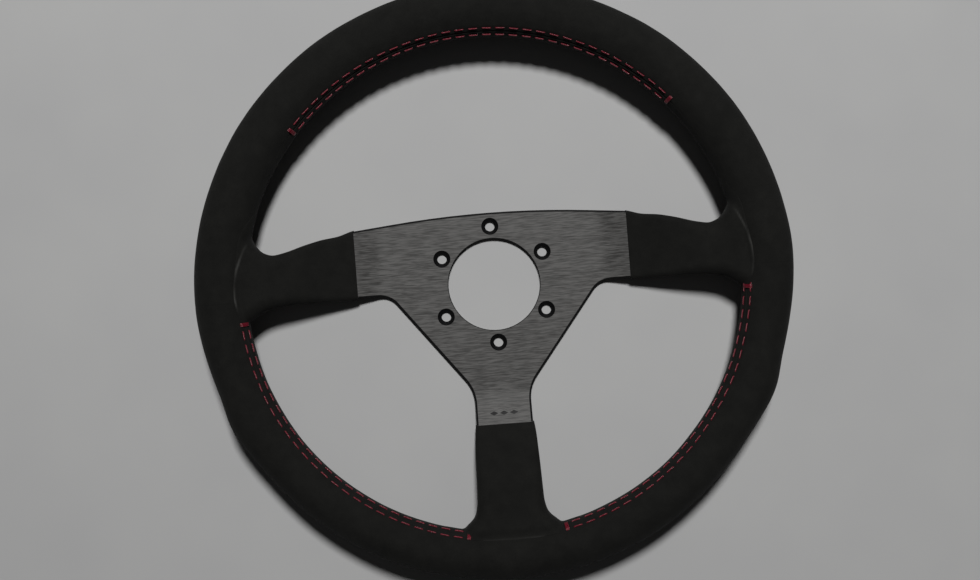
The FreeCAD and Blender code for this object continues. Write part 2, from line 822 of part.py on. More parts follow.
for spoke in SPOKES:
    sleeve = roots[spoke].cut([rim_outside, root_cores[spoke]]).cut(parts["spoke_plate"].Shape)
    parts[f"spoke_suede_{spoke}"] = add_feature(f"spoke_suede_{spoke}", sleeve)

SEAMS = {"upper": (41.5, 139.0), "lower_left": (187.0, 257.0), "lower_right": (283.0, 353.0)}
for panel, (first, last) in SEAMS.items():
    parts[f"rim_stitch_{panel}"] = add_feature(f"rim_stitch_{panel}", rim_seam(first, last))

for spoke in SPOKES:
    thread = spoke_seam(BOTTOM_ROOT if spoke == "bottom" else SIDE_ROOT)
    if spoke == "left":
        thread = thread.mirror(Vector(0, 0, 0), Vector(1, 0, 0))
    if spoke == "bottom":
        thread.rotate(Vector(0, 0, 0), Vector(0, 0, 1), -90)
    parts[f"spoke_stitch_{spoke}"] = add_feature(f"spoke_stitch_{spoke}", thread)

doc.recompute()
for made in doc.Objects:
    if {"Invalid", "Error"} & set(made.State):
        raise RuntimeError(f"{made.Label} failed: {made.State}")

os.makedirs("parts", exist_ok=True)
for name, made in parts.items():
    shape = made.Shape
    if shape.isNull() or not shape.isValid():
        raise RuntimeError(f"{name} has no valid shape")
    shape.exportStep(f"parts/{name}.step")
    print(name, round(shape.Volume), "mm3,", len(shape.Solids), "solids")
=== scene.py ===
import math

import bmesh
import bpy
import numpy as np
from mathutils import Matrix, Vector


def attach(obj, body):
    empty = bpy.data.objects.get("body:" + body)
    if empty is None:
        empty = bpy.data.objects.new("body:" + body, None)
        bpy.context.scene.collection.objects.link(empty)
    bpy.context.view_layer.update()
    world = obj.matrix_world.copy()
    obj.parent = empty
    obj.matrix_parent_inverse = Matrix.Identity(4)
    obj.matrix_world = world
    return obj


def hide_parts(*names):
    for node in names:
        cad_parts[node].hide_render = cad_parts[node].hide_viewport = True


# A three-spoke sport wheel: black suede over the rim and spokes, red inner seams, brushed black hub plate.
# Lengths are in millimetres, and MM turns them into metres where a mesh or the camera is made. The lights,
# the floor and the scales inside materials are in metres.

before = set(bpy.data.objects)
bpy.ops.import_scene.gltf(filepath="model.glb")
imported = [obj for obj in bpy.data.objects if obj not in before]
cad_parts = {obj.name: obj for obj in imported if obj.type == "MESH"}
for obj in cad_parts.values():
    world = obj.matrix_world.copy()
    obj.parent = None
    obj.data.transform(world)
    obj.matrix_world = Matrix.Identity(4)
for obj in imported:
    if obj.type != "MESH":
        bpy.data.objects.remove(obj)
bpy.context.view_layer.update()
MM = 0.001
BODY = "root"

# ---------------------------------------------------------------- driving dimensions

# The rim and the sleeves' sections are the CAD's.
RIM_HEIGHT = 25.0
RIM_OUTER = 175.0
RIM_INNER = 144.5
RIM_DEPTH = 28.0
WAIST_DROP = 2.65  # how much slimmer the rim's outside is below
WAIST_TURN = (-6, 20)  # degrees below 3 and 9 o'clock over which it slims
THUMB_BUMP = 2.3  # height of the bump under each hand
BUMP_TURN = 25  # degrees below 3 and 9 o'clock
BUMP_SPREAD = (5.0, 7.0)  # degrees, above and below its top
SUEDE = 1.1

SEAM_ANGLE = 62.0  # degrees round the rim's section, from its front towards the hub
STITCH_ROWS = 5.2
STITCH_PITCH = 7.7
STITCH_LENGTH = 5.9
THREAD = 0.42
STITCH_POINTS = 15  # along one stitch

# Panels of the rim and the stitched stretch of each one's seam, in degrees from 3 o'clock.
PANELS = {
    "upper": ((0.0, 180.0), (42.0, 139.0)),
    "lower_left": ((180.0, 270.0), (184.6, 260.2)),
    "lower_right": ((270.0, 360.0), (282.0, 355.4)),
}

# Sections of a spoke's sleeve: outward, low side, high side, back, front.
SIDE_STATIONS = [
    (78.0, -3.2, 39.5, 4.1, 10.0),
    (81.5, -3.2, 38.4, 5.3, 11.5),
    (90.0, -3.2, 35.2, 8.4, 15.2),
    (100.0, -3.2, 33.8, 11.4, 20.2),
    (110.0, -3.2, 31.0, 13.4, 25.2),
    (119.0, -3.4, 27.9, 14.0, 29.2),
    (128.0, -4.2, 26.0, 14.0, 31.6),
    (135.0, -5.9, 28.7, 13.8, 32.8),
    (141.0, -9.4, 36.6, 14.0, 34.0),
    (152.0, -14.4, 45.6, 17.5, 32.5),
]
BOTTOM_STATIONS = [
    (80.0, -17.5, 17.5, 4.1, 10.1),
    (83.4, -17.7, 17.7, 5.3, 11.5),
    (92.0, -18.4, 18.4, 8.9, 15.8),
    (101.0, -18.9, 18.9, 11.7, 20.6),
    (110.0, -19.1, 19.1, 13.4, 25.2),
    (119.0, -19.3, 19.3, 14.0, 29.2),
    (128.0, -19.6, 19.6, 14.0, 31.6),
    (135.0, -21.2, 21.2, 13.8, 32.8),
    (141.0, -26.5, 26.5, 14.0, 34.0),
    (152.0, -35.0, 35.0, 17.5, 32.5),
]


# ---------------------------------------------------------------- small helpers


def smooth_step(low, high, value):
    share = np.clip((value - low) / (high - low), 0.0, 1.0)
    return share * share * (3 - 2 * share)


def bell(value, width):
    return np.exp(-((value / width) ** 2))


def waves(seed, count, shortest, longest):
    """A random smooth field of place, between about -1 and 1, as a sum of plane waves."""
    random = np.random.default_rng(seed)
    ways = random.normal(size=(count, 3))
    ways /= np.linalg.norm(ways, axis=1)[:, None]
    lengths = random.uniform(shortest, longest, count)
    phases = random.uniform(0, 2 * math.pi, count)

    def field(points):
        total = np.zeros(len(points))
        for way, length, phase in zip(ways, lengths, phases):
            total += np.sin(points @ way * (2 * math.pi / length) + phase)
        return total / math.sqrt(count * 2)

    return field


def new_piece(name, points, faces, material, node):
    """Makes a mesh piece from points in millimetres and hangs it on the wheel's one body."""
    mesh = bpy.data.meshes.new(name)
    mesh.from_pydata((np.asarray(points) * MM).tolist(), [], np.asarray(faces).tolist())
    mesh.update()
    mesh.polygons.foreach_set("use_smooth", np.ones(len(mesh.polygons), bool))
    piece = bpy.data.objects.new(name, mesh)
    bpy.context.scene.collection.objects.link(piece)
    mesh.materials.append(material)
    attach(piece, BODY)
    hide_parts(node)
    return piece


# ---------------------------------------------------------------- the rim's shape


def outer_radius(turn):
    """Outside of the rim at angles in degrees: slimmer below, with a bump under each hand."""
    below = -np.degrees(np.arcsin(np.sin(np.radians(turn))))
    drop = WAIST_DROP * smooth_step(*WAIST_TURN, below)
    spread = np.where(below < BUMP_TURN, *BUMP_SPREAD)
    return RIM_OUTER - drop + THUMB_BUMP * bell(below - BUMP_TURN, spread)


def rim_section(turn):
    outer = outer_radius(turn)
    return (outer + RIM_INNER) / 2, (outer - RIM_INNER) / 2, RIM_DEPTH / 2


def rim_point(turn, angle, lift):
    """Points on the rim: angle runs from the front of its section towards the hub; lift stands off."""
    centre, width, depth = rim_section(turn)
    a = np.radians(angle)
    across, along = -np.sin(a) / width, np.cos(a) / depth
    size = np.sqrt(across**2 + along**2)
    radius = centre - width * np.sin(a) + across / size * lift
    height = RIM_HEIGHT + depth * np.cos(a) + along / size * lift
    t = np.radians(turn)
    return np.stack([radius * np.cos(t), radius * np.sin(t), height], -1)


def rim_distance(points):
    """About how far points are outside the rim's nominal surface."""
    turn = np.degrees(np.arctan2(points[:, 1], points[:, 0]))
    centre, width, depth = rim_section(turn)
    u = np.hypot(points[:, 0], points[:, 1]) - centre
    v = points[:, 2] - RIM_HEIGHT
    near = np.sqrt((u / width) ** 2 + (v / depth) ** 2) + 1e-9
    slope = np.sqrt((u / width**2) ** 2 + (v / depth**2) ** 2) + 1e-9
    return near * (near - 1) / slope


undulation = waves(11, 14, 26.0, 70.0)
ripple = waves(12, 14, 7.0, 18.0)


def unevenness(points):
    """How far the glued suede stands off its nominal surface."""
    return 0.13 * undulation(points) + 0.035 * ripple(points)


SECTION_ROUND = 92.6  # nominal length once round the rim's section
ROLL = 1.0  # radius of a panel's turned edge at the seam
UNSTITCHED_ROLL = 0.12  # share of the roll where the seam isn't stitched
STRIP_HEIGHT = 0.3  # the doubled edge of a panel under its stitches
STRIP_END = (3.4, 5.6)  # distances from the seam over which it thins out
HOLE_PUCKER = 0.28  # depth where a stitch goes in
HOLE_WIDTH = 1.1
PUCKER_SWELL = 0.16  # height between two holes
SWELL_PLACE = 4.6
SWELL_WIDTH = 1.8
SEAM_FADE = (2, 1)  # degrees outside and inside the ends of the stitches over which they take hold
JOINT_DIP = 0.05  # where two panels meet end to end
JOINT_WIDTH = 0.35
SKIN_OVERLAP = 0.02  # how far a panel's inside sinks into the foam

# The rim panels' grid is close-set at their ends, in degrees, and beside the seam, in millimetres.
END_COLUMNS = np.array([0.0, 0.05, 0.12, 0.22, 0.36])
OTHER_COLUMNS_FROM = 0.6
COLUMN_STEP = 0.55
SEAM_ROWS = np.array([0.0, 0.08, 0.2, 0.36, 0.6, 0.9, 1.3, 1.8, 2.4, 3.1, 3.9, 4.8])
OTHER_ROWS_FROM = 5.8
ROWS_AWAY_FROM_SEAM = 84


def seam_lift(distance, turn, stitched):
    """Height of the suede beside its seam: the turned edge, the doubled edge strip and the stitch puckers."""
    inside = np.clip(distance, 0, ROLL)
    rolled = np.sqrt(np.maximum(ROLL**2 - (ROLL - inside) ** 2, 0)) - ROLL
    first, last = stitched
    out, inward = SEAM_FADE
    within = smooth_step(first - out, first + inward, turn)
    within = within * (1 - smooth_step(last - inward, last + out, turn))
    strip = STRIP_HEIGHT * (1 - smooth_step(*STRIP_END, distance)) * within
    step = math.degrees(STITCH_PITCH / RIM_INNER)
    phase = ((turn - first) / step - 0.5) % 1.0
    stitch_middle = STITCH_LENGTH / STITCH_PITCH / 2
    gap = np.cos(math.pi * (phase - stitch_middle)) ** 2
    held = HOLE_PUCKER * gap * bell(distance - STITCH_ROWS / 2, HOLE_WIDTH)
    swollen = PUCKER_SWELL * (1 - gap) * bell(distance - SWELL_PLACE, SWELL_WIDTH)
    return rolled * (UNSTITCHED_ROLL + (1 - UNSTITCHED_ROLL) * within) + strip + within * (swollen - held)


def rim_panel(name):
    """One panel: suede once round the rim's section, its edges turned in at the seam, as a closed skin."""
    (first, last), stitched = PANELS[name]
    columns = int((last - first) / COLUMN_STEP)
    between = np.linspace(first + OTHER_COLUMNS_FROM, last - OTHER_COLUMNS_FROM, columns)
    turns = np.concatenate([first + END_COLUMNS, between, last - END_COLUMNS[::-1]])
    coarse = np.linspace(OTHER_ROWS_FROM, SECTION_ROUND - OTHER_ROWS_FROM, ROWS_AWAY_FROM_SEAM)
    across = np.concatenate([SEAM_ROWS, coarse, SECTION_ROUND - SEAM_ROWS[::-1]])
    turn, walk = np.meshgrid(turns, across, indexing="ij")
    distance = np.minimum(walk, SECTION_ROUND - walk)
    angle = SEAM_ANGLE + 360 * walk / SECTION_ROUND
    uneven = unevenness(rim_point(turn, angle, 0.0).reshape(-1, 3)).reshape(turn.shape)
    joint = np.minimum(turn - first, last - turn) * math.radians(1.0) * RIM_OUTER
    lift = seam_lift(distance, turn, stitched)
    lift = lift + uneven * smooth_step(0, 6, distance) - JOINT_DIP * bell(joint, JOINT_WIDTH)
    outside = rim_point(turn, angle, lift)
    inside = rim_point(turn, angle, np.full_like(lift, -SUEDE - SKIN_OVERLAP))
    sheet = np.concatenate([outside, inside[:, ::-1]], 1)
    rows = sheet.shape[1]
    index = np.arange(len(turns) * rows).reshape(len(turns), rows)
    a, b = index[:-1], index[1:]
    around = np.stack([a, b, np.roll(b, -1, 1), np.roll(a, -1, 1)], -1).reshape(-1, 4)
    half = rows // 2
    caps = []
    for end, order in ((index[0], 1), (index[-1], -1)):
        strip = np.stack([end[: half - 1], end[1:half], end[::-1][1:half], end[::-1][: half - 1]], -1)
        caps.append(strip[:, ::order])
    faces = np.concatenate([around] + caps)
    points = sheet.reshape(-1, 3)
    node = f"rim_suede_{name}"
    piece = new_piece(f"rim_cover_{name}", points, faces, MATERIALS["suede"], node)


# ---------------------------------------------------------------- spoke sleeves

# Where a sleeve's edge lies on the rim, seen from the front, as (outward, across) points.
SIDE_EDGE = [
    (132, 55),
    (138.6, 47),
    (142.8, 41),
    (144.9, 36),
    (146.0, 31),
    (147.0, 25),
    (148.2, 19),
    (149.4, 11),
    (149.8, 3),
    (149.2, -3),
    (147.6, -9),
    (145.0, -14.5),
    (141, -20),
    (135, -27),
]
BOTTOM_EDGE = [
    (132, -48),
    (139.4, -39.5),
    (143.6, -32.5),
    (146.0, -25),
    (147.2, -14),
    (147.6, 0),
    (147.2, 14),
    (146.0, 25),
    (143.6, 32.5),
    (139.4, 39.5),
    (132, 48),
]

# The pale crease on a side sleeve's front; the bottom sleeve's runs along its edge.
SIDE_CREASE = [
    (136, 40),
    (138.8, 36.5),
    (142, 31.5),
    (145.0, 25.5),
    (147.4, 19),
    (149.1, 11),
    (149.6, 3),
    (148.6, -4),
    (146.6, -11),
    (143, -19),
]

# What the two side sleeves share. reach is how far the spoke's surface blends into the rim's, across is how
# far to each side the sleeve is looked for, and turn is about Z from the spoke's own frame.
SIDE_SLEEVE = {
    "stations": SIDE_STATIONS,
    "start": 81.5,
    "edge": SIDE_EDGE,
    "crease": SIDE_CREASE,
    "reach": 9.0,
    "across": (-30.0, 52.0),
    "turn": 0.0,
}
# paleness is how strong the crease is.
SLEEVES = {
    "right": {**SIDE_SLEEVE, "mirrored": False, "paleness": 0.9},
    "left": {**SIDE_SLEEVE, "mirrored": True, "paleness": 1.0},
    "bottom": {
        "stations": BOTTOM_STATIONS,
        "start": 83.4,
        "edge": BOTTOM_EDGE,
        "crease": BOTTOM_EDGE,
        "reach": 11.0,
        "across": (-40.0, 40.0),
        "turn": -90.0,
        "mirrored": False,
        "paleness": 0.5,
    },
}

LAP = 0.12  # how far a sleeve's edge stands off the rim's suede
EDGE_REACH = 3.5  # the blend's reach at that edge
FEATHER = 7.0  # how far from the edge the reach begins to shrink to it
SLEEVE_SKIN = 0.8
SLEEVE_END = 168.0  # a sleeve is looked for this far out
SLEEVE_HEIGHTS = (4.0, 44.0)  # and between these heights
GRID_STEP = 0.8
EDGE_STEP = 0.7
CREASE_STEP = 0.3
CREASE_WIDTH = 0.5
CREASE_FADE = (13, 21)  # distances from the spoke's middle over which the crease fades out
STATION_STEP = 0.5
CURVE_SMOOTHING = 6  # points to each side
STATION_SMOOTHING = 10
CORNER_SHARE = 0.84  # a section's corner radius as a share of half its height
NUDGE = 0.05  # to each side, for taking a slope
TRIM = 0.05  # a face is kept if one of its points is this far inside the edge
DRAWN_IN = 0.3  # points nearer the edge than this are moved onto it

# A sleeve's relief, each as its height or depth and its width.
GROOVE = (0.75, 0.8)
GROOVE_BANK = (0.22, 1.6)
BANK_PLACE = 2.6  # from the groove's middle
START_TURNED = (0.15, 1.6)
EDGE_TURNED = (0.1, 0.5)
EDGE_SWELL = (0.08, 1.2)
SWELL_INSIDE = 1.6  # from the edge


def rounded_off(before, line, after):
    """A line averaged over a window as wide as the padding on its two ends allows."""
    kernel = np.hanning(2 * len(before) + 1)
    kernel /= kernel.sum()
    return np.convolve(np.concatenate([before, line, after]), kernel, "valid")


def length_walked(points):
    return np.concatenate([[0], np.cumsum(np.linalg.norm(np.diff(points, axis=0), axis=1))])


def dense_curve(points, step):
    """The points joined by a smooth curve."""
    points = np.array(points, float)
    walked = length_walked(points)
    fine = np.arange(0, walked[-1], step)
    reach = CURVE_SMOOTHING
    made = []
    for k in (0, 1):
        line = np.interp(fine, walked, points[:, k])
        before = 2 * line[0] - line[reach:0:-1]
        after = 2 * line[-1] - line[-2 : -2 - reach : -1]
        made.append(rounded_off(before, line, after))
    return np.stack(made, -1)


def beyond_edge(points, curve):
    """Signed distance in plan past a line on the sleeve, and the way across it."""
    plan = points[:, :2]
    along = np.gradient(curve, axis=0)
    along /= np.linalg.norm(along, axis=1)[:, None]
    outward = np.stack([along[:, 1], -along[:, 0]], -1)
    if outward[len(curve) // 2, 0] < 0:
        outward = -outward
    nearest = np.zeros(len(plan), int)
    block = 4000  # points at a time, to spare memory
    for first in range(0, len(plan), block):
        some = plan[first : first + block]
        nearest[first : first + block] = ((some[:, None] - curve[None]) ** 2).sum(2).argmin(1)
    way = outward[nearest]
    return ((plan - curve[nearest]) * way).sum(1), way


def smooth_stations(stations):
    """Close-set places along a spoke and its sleeve's sides there, rounded off between stations."""
    stations = np.array(stations)
    x = np.arange(stations[0, 0], stations[-1, 0], STATION_STEP)
    steps = np.arange(1, STATION_SMOOTHING + 1)
    made = []
    for column in range(1, 5):
        line = np.interp(x, stations[:, 0], stations[:, column])
        before = line[0] - (line[1] - line[0]) * steps[::-1]
        after = line[-1] + (line[-1] - line[-2]) * steps
        made.append(rounded_off(before, line, after))
    return x, made


def root_distance(points, table):
    """Distance outside a spoke root along +X whose sections are rounded rectangles."""
    x, (low, high, back, front) = table
    low, high, back, front = [np.interp(points[:, 0], x, line) for line in (low, high, back, front)]
    half_y, half_z = (high - low) / 2, (front - back) / 2
    radius = CORNER_SHARE * half_z
    q_y = np.abs(points[:, 1] - (high + low) / 2) - (half_y - radius)
    q_z = np.abs(points[:, 2] - (front + back) / 2) - (half_z - radius)
    outside = np.hypot(np.maximum(q_y, 0), np.maximum(q_z, 0))
    return outside + np.minimum(np.maximum(q_y, q_z), 0) - radius


def blend_min(a, b, reach):
    """The union of two shapes, given as distances, filleted where they meet."""
    h = np.maximum(reach - np.abs(a - b), 0) / reach
    return np.minimum(a, b) - h**3 * reach / 6


def surface_net(values, origin, step):
    """Quads of the zero surface of a field sampled on a grid."""
    inside = values < 0
    shape = np.array(values.shape) - 1
    corner = [(i, j, k) for i in (0, 1) for j in (0, 1) for k in (0, 1)]

    def part(array, offset):
        i, j, k = offset
        return array[i : i + shape[0], j : j + shape[1], k : k + shape[2]]

    count = sum(part(inside, c).astype(np.int8) for c in corner)
    active = (count > 0) & (count < 8)
    number = np.full(shape, -1)
    number[active] = np.arange(active.sum())
    total = np.zeros((active.sum(), 3))
    hits = np.zeros(active.sum())
    for a in corner:
        for axis in range(3):
            if a[axis]:
                continue
            b = list(a)
            b[axis] = 1
            fa, fb = part(values, a)[active], part(values, tuple(b))[active]
            crossing = (fa < 0) != (fb < 0)
            share = np.where(crossing, fa / np.where(crossing, fa - fb, 1), 0)
            place = np.zeros((len(fa), 3)) + np.array(a, float)
            place[:, axis] += share
            total += place * crossing[:, None]
            hits += crossing
    cells = np.argwhere(active)
    points = (cells + total / hits[:, None]) * step + origin
    faces = []
    for axis in range(3):
        others = [d for d in range(3) if d != axis]
        low = [slice(1, -1)] * 3
        low[axis] = slice(0, -1)
        high = list(low)
        high[axis] = slice(1, None)
        base = np.argwhere(inside[tuple(low)] != inside[tuple(high)])
        for d in others:
            base[:, d] += 1
        quad = []
        for du, dv in ((0, 0), (1, 0), (1, 1), (0, 1)):
            cell = base.copy()
            cell[:, others[0]] -= du
            cell[:, others[1]] -= dv
            quad.append(number[cell[:, 0], cell[:, 1], cell[:, 2]])
        faces.append(np.stack(quad, -1))
    return points, np.concatenate(faces)


def gradient(field, points):
    made = np.zeros_like(points)
    for axis in range(3):
        shift = np.zeros(3)
        shift[axis] = NUDGE
        made[:, axis] = (field(points + shift) - field(points - shift)) / (2 * NUDGE)
    return made


def settle(field, points, rounds=4):
    """Moves points onto the zero surface of a field."""
    least = 0.05  # keeps a step short where the field is nearly level
    for _ in range(rounds):
        slope = gradient(field, points)
        square = np.maximum((slope**2).sum(1), least)
        points = points - slope * (field(points) / square)[:, None]
    return points


def to_wheel(points, spoke):
    """From a spoke's own frame, along +X, to the wheel's."""
    points = points.copy()
    if spoke["mirrored"]:
        points[:, 0] *= -1
    t = math.radians(spoke["turn"])
    spin = np.array([[math.cos(t), math.sin(t), 0], [-math.sin(t), math.cos(t), 0], [0, 0, 1]])
    return points @ spin


def drop_points(points, faces, keep_face):
    """The faces to keep, and only the points they use."""
    faces = faces[keep_face]
    used = np.unique(faces)
    number = np.full(len(points), -1)
    number[used] = np.arange(len(used))
    return points[used], number[faces]


def clip_start(piece, spoke):
    """Cuts a sleeve square across at the edge that lies on the plate."""
    way = to_wheel(np.array([[1.0, 0.0, 0.0]]), spoke)[0]
    mesh = bmesh.new()
    mesh.from_mesh(piece.data)
    bmesh.ops.bisect_plane(
        mesh,
        geom=mesh.verts[:] + mesh.edges[:] + mesh.faces[:],
        plane_co=Vector(way * spoke["start"] * MM),
        plane_no=Vector(-way),
        clear_outer=True,
    )
    bmesh.ops.dissolve_degenerate(mesh, dist=0.00005, edges=mesh.edges[:])
    mesh.to_mesh(piece.data)
    mesh.free()


def sleeve_skin(spoke, curve, field):
    """Points and faces of a sleeve's outside, trimmed and drawn in to its edge on the rim."""
    low = np.array([spoke["start"] - 2 * GRID_STEP, spoke["across"][0], SLEEVE_HEIGHTS[0]])
    high = np.array([SLEEVE_END, spoke["across"][1], SLEEVE_HEIGHTS[1]])
    counts = ((high - low) / GRID_STEP).astype(int) + 1
    axes = [low[i] + GRID_STEP * np.arange(counts[i]) for i in range(3)]
    grid = np.stack(np.meshgrid(*axes, indexing="ij"), -1).reshape(-1, 3)
    points, faces = surface_net(field(grid).reshape(counts), low, GRID_STEP)
    points = settle(field, points)
    past, _ = beyond_edge(points, curve)
    points, faces = drop_points(points, faces, past[faces].min(1) < -TRIM)
    for _ in range(3):
        past, way = beyond_edge(points, curve)
        over = past > -DRAWN_IN
        points[over, :2] -= way[over] * past[over][:, None]
        points[over] = settle(field, points[over], 1)
    return points, faces


def sleeve_relief(points, normal, past, spoke, seam_place, off_rim):
    """Height of a sleeve's surface: its seam's groove behind, its turned edges and the glue's unevenness."""

    def ridge(shape, distance):
        height, width = shape
        return height * bell(distance, width)

    seam = np.abs(points[:, 1] - seam_place)
    back = (normal[:, 2] < -0.5) * off_rim
    groove = back * (ridge(GROOVE_BANK, seam - BANK_PLACE) - ridge(GROOVE, seam))
    turned = ridge(START_TURNED, points[:, 0] - spoke["start"]) + ridge(EDGE_TURNED, past)
    return groove + unevenness(to_wheel(points, spoke)) - turned + ridge(EDGE_SWELL, past + SWELL_INSIDE)


def face_outward(points, faces, normal):
    """Turns round the faces that look inwards."""
    corners = points[faces]
    facing = np.cross(corners[:, 2] - corners[:, 0], corners[:, 3] - corners[:, 1])
    wrong = (facing * normal[faces].mean(1)).sum(1) < 0
    faces[wrong] = faces[wrong][:, ::-1]


def sleeve(name):
    """The suede of one spoke: wrapped round the padded spoke and lapped smoothly over the rim's."""
    spoke = SLEEVES[name]
    table = smooth_stations(spoke["stations"])
    curve = dense_curve(spoke["edge"], EDGE_STEP)

    def rim_here(points):
        return rim_distance(to_wheel(points, spoke))

    def field(points):
        past, _ = beyond_edge(points, curve)
        reach = EDGE_REACH + (spoke["reach"] - EDGE_REACH) * (1 - smooth_step(-FEATHER, -1.0, past))
        return blend_min(root_distance(points, table), rim_here(points) - LAP, reach)

    points, faces = sleeve_skin(spoke, curve, field)
    past, _ = beyond_edge(points, curve)
    normal = gradient(field, points)
    normal /= np.linalg.norm(normal, axis=1)[:, None]
    off_rim = smooth_step(0.0, 4.0, rim_here(points))
    x, (low, high, _, _) = table
    seam_place = np.interp(points[:, 0], x, (low + high) / 2)
    flecks = 0.75 + 0.5 * ripple(to_wheel(points, spoke))
    relief = sleeve_relief(points, normal, past, spoke, seam_place, off_rim)
    points = points + normal * relief[:, None]
    across = np.abs(points[:, 1] - np.mean([spoke["edge"][0][1], spoke["edge"][-1][1]]))
    from_line, _ = beyond_edge(points, dense_curve(spoke["crease"], CREASE_STEP))
    crease = bell(from_line, CREASE_WIDTH) * (1 - smooth_step(*CREASE_FADE, across)) * (normal[:, 2] > 0)
    crease *= spoke["paleness"] * flecks
    face_outward(points, faces, normal)
    if spoke["mirrored"]:
        faces = faces[:, ::-1]
    placed = to_wheel(points, spoke)
    node = f"spoke_suede_{name}"
    piece = new_piece(f"spoke_cover_{name}", placed, faces, MATERIALS["suede"], node)
    attribute = piece.data.attributes.new("crease", "FLOAT", "POINT")
    attribute.data.foreach_set("value", crease.astype(np.float32))
    clip_start(piece, spoke)
    skin = piece.modifiers.new("suede", "SOLIDIFY")
    skin.thickness = SLEEVE_SKIN * MM
    skin.offset = -1.0
    skin.use_rim = True


# ---------------------------------------------------------------- stitching

STRANDS = 3
STRAND_SIDES = 6
STRAND_RADIUS = 0.52 * THREAD
STRAND_OFFSET = 0.5 * THREAD
TWIST_PITCH = 3.2
STITCH_SUNK = 0.9  # how deep a stitch's ends are
STITCH_RISE = 1.35  # from there to its top
STITCH_ROUNDING = 2.2
CLEAR_OF_SUEDE = 0.12
BAR_WRAPS = 3
BAR_WRAP_STEP = 0.28  # degrees round the wheel
BAR_OVERHANG = 4.0  # degrees round the section, past each row
BAR_LIFT = 0.25
BAR_MIDDLE_LIFT = 0.1
SPOKE_SEAM_FIRST = 5.0  # from the sleeve's start
SPOKE_SEAM_LAST = 132.0


def thread_mesh(paths, normals):
    """Twisted strands along each path, as one mesh. paths: (stitches, points, 3)."""
    points, faces, base = [], [], 0
    for path, normal in zip(paths, normals):
        along = np.gradient(path, axis=0)
        along /= np.linalg.norm(along, axis=1)[:, None]
        side = np.cross(along, normal)
        side /= np.linalg.norm(side, axis=1)[:, None]
        up = np.cross(side, along)
        walked = length_walked(path)
        for strand in range(STRANDS):
            spin = 2 * math.pi * (walked / TWIST_PITCH + strand / STRANDS)
            centre = path + STRAND_OFFSET * (np.cos(spin)[:, None] * side + np.sin(spin)[:, None] * up)
            rings = []
            for k in range(STRAND_SIDES):
                a = 2 * math.pi * k / STRAND_SIDES
                rings.append(centre + STRAND_RADIUS * (math.cos(a) * side + math.sin(a) * up))
            count = len(path)
            index = base + np.arange(count * STRAND_SIDES).reshape(count, STRAND_SIDES)
            a, b = index[:-1], index[1:]
            faces.append(np.stack([a, np.roll(a, -1, 1), np.roll(b, -1, 1), b], -1).reshape(-1, 4))
            points.append(np.stack(rings, 1).reshape(-1, 3))
            base += count * STRAND_SIDES
    return np.concatenate(points), np.concatenate(faces)


def stitch_profile():
    """How high a stitch's centre line stands off the suede: in at one hole, over, and in at the other."""
    share = np.linspace(0, 1, STITCH_POINTS)
    arch = np.minimum(1.0, np.sin(math.pi * share) * STITCH_ROUNDING)
    return share, STITCH_RISE * arch - STITCH_SUNK


def rim_thread(name):
    """The stitches of one panel's seam, in two rows, with a bar of wraps at each end."""
    _, (first, last) = PANELS[name]
    step = math.degrees(STITCH_PITCH / RIM_INNER)
    length = math.degrees(STITCH_LENGTH / RIM_INNER)
    half_rows = math.degrees(STITCH_ROWS / 2 / (RIM_DEPTH / 2))
    random = np.random.default_rng(5)
    share, height = stitch_profile()
    paths, normals = [], []

    def add(turns, angles, lift):
        paths.append(rim_point(turns, angles, lift))
        normals.append(rim_point(turns, angles, 1.0) - rim_point(turns, angles, 0.0))

    for number in range(int((last - first) / step)):
        for side in (-1, 1):
            begin = first + (number + 0.5) * step + random.uniform(-0.06, 0.06)
            slip = random.uniform(-0.5, 0.5, 2)
            angles = SEAM_ANGLE + side * half_rows + slip[0] + (slip[1] - slip[0]) * share
            add(begin + length * share, angles, height + CLEAR_OF_SUEDE)
    for end, way in ((first, 1), (last, -1)):
        for wrap in range(BAR_WRAPS):
            turns = np.full(STITCH_POINTS, end + way * wrap * BAR_WRAP_STEP)
            angles = SEAM_ANGLE + (half_rows + BAR_OVERHANG) * (2 * share - 1)
            add(turns, angles, height + BAR_LIFT + BAR_MIDDLE_LIFT * (wrap == 1))
    points, faces = thread_mesh(paths, normals)
    node = f"rim_stitch_{name}"
    new_piece(f"rim_thread_{name}", points, faces, MATERIALS["thread"], node)


def spoke_thread(name):
    """Two rows of stitches along the back of a spoke."""
    spoke = SLEEVES[name]
    x, (low, high, back, _) = smooth_stations(spoke["stations"])
    share, height = stitch_profile()
    begin = spoke["start"] + SPOKE_SEAM_FIRST
    paths, normals = [], []
    for number in range(int((SPOKE_SEAM_LAST - begin) / STITCH_PITCH)):
        for side in (-0.5, 0.5):
            along = begin + number * STITCH_PITCH + STITCH_LENGTH * share
            across = np.interp(along, x, (low + high) / 2) + side * STITCH_ROWS
            under = np.interp(along, x, back) - height - CLEAR_OF_SUEDE
            paths.append(to_wheel(np.stack([along, across, under], -1), spoke))
            normals.append(np.tile([0.0, 0.0, -1.0], (STITCH_POINTS, 1)))
    points, faces = thread_mesh(paths, normals)
    node = f"spoke_stitch_{name}"
    new_piece(f"spoke_thread_{name}", points, faces, MATERIALS["thread"], node)


# ---------------------------------------------------------------- materials


def grey(value):
    return (value,) * 3


def new_material(name):
    material = bpy.data.materials.new(name)
    material.use_nodes = True
    nodes = material.node_tree.nodes
    return material, nodes, material.node_tree.links, nodes["Principled BSDF"]


def noise(nodes, links, where, scale, detail=4.0, roughness=0.55):
    made = nodes.new("ShaderNodeTexNoise")
    made.inputs["Scale"].default_value = scale
    made.inputs["Detail"].default_value = detail
    made.inputs["Roughness"].default_value = roughness
    links.new(where, made.inputs["Vector"])
    return made.outputs["Fac"]


